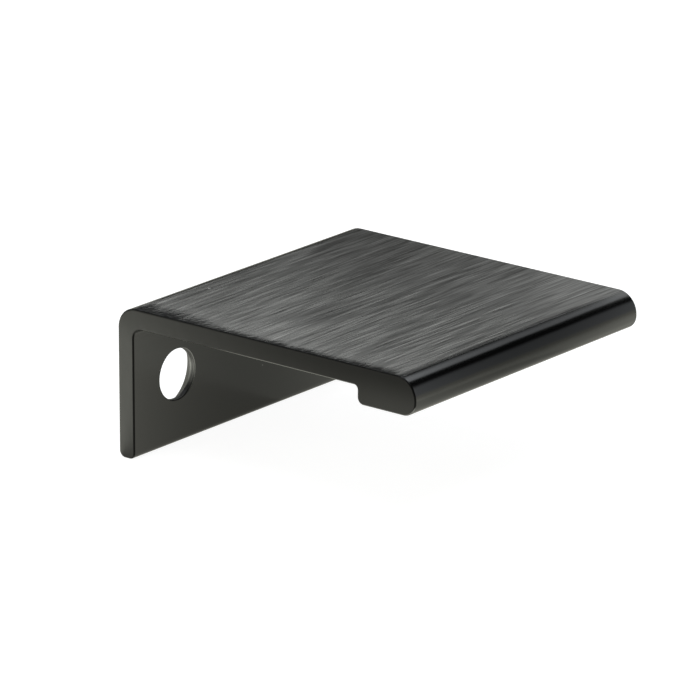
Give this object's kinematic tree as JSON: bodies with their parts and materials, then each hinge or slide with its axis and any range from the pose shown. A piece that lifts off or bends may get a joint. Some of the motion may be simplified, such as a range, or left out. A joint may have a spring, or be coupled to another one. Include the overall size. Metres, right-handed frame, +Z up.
{
  "type": "tab pull",
  "caption": "Tab pull in black aluminium: a brushed flat plate with a thick rounded lip in front and a drilled leg turned down behind, screwed over the edge of a drawer or door.",
  "frame": {"origin": "midway between the two screw holes, on the leg's front face, which seats on the back of the drawer front or door", "axes": "+X along the extrusion, -Y forward from the leg to the rounded lip, +Z up through the plate"},
  "size_m": [0.04, 0.0419, 0.0177],
  "materials": {
    "black_aluminium": "black anodised, brushed along its length on top and smooth elsewhere"
  },
  "bodies": {
    "root": {"tab_pull": "black_aluminium"}
  },
  "joints": []
}
